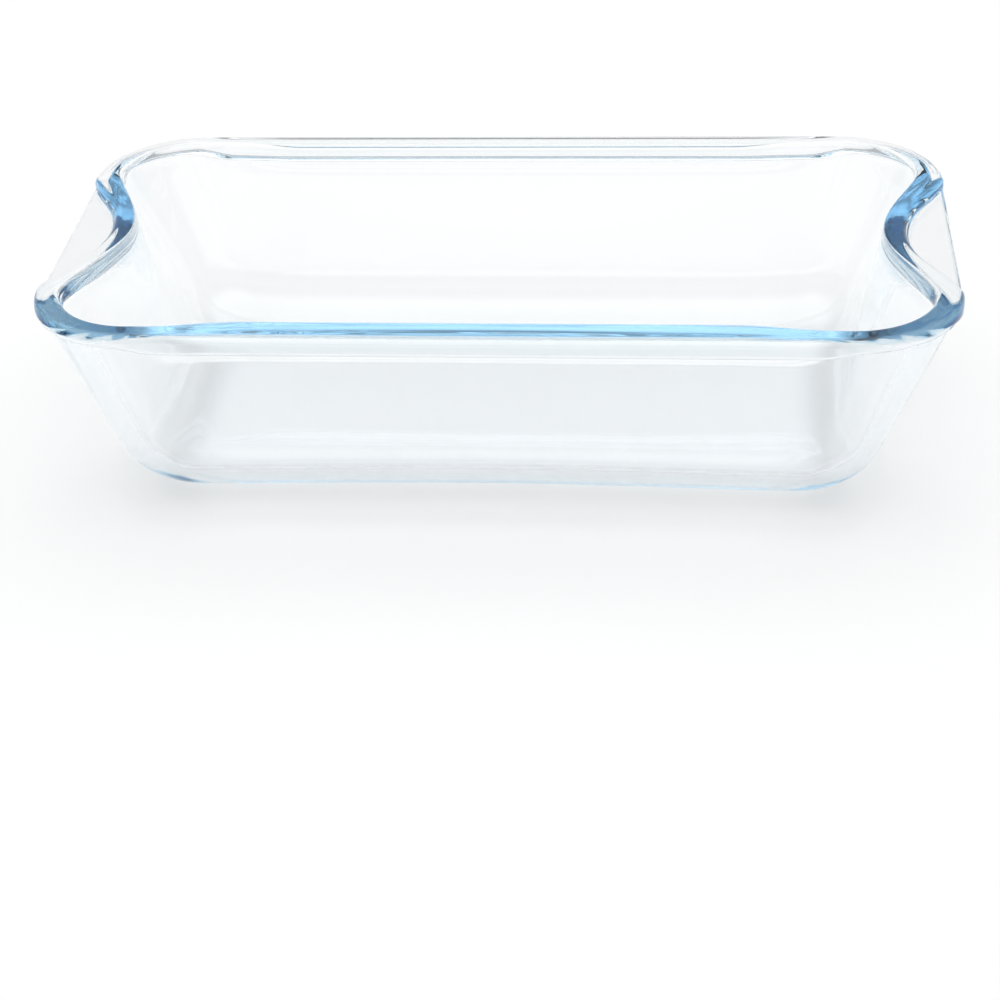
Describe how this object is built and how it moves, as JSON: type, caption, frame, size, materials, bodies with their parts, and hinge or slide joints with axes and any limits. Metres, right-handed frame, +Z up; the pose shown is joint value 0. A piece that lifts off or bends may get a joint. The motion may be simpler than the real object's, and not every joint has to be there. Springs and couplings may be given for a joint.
{
  "type": "loaf pan",
  "caption": "Clear glass loaf pan: a deep tapered rectangular basin with a thick rounded rim and a flat recessed handle at each end.",
  "frame": {"origin": "centre of the footprint, on the plane that the flat base rests on", "axes": "+X along the length, through the two end handles; +Z up, out of the basin's mouth"},
  "size_m": [0.28, 0.14, 0.067],
  "materials": {
    "glass": "clear polished pressed glass with a faint blue tint in its thick parts"
  },
  "bodies": {
    "root": {"glass_pan": "glass"}
  },
  "joints": []
}
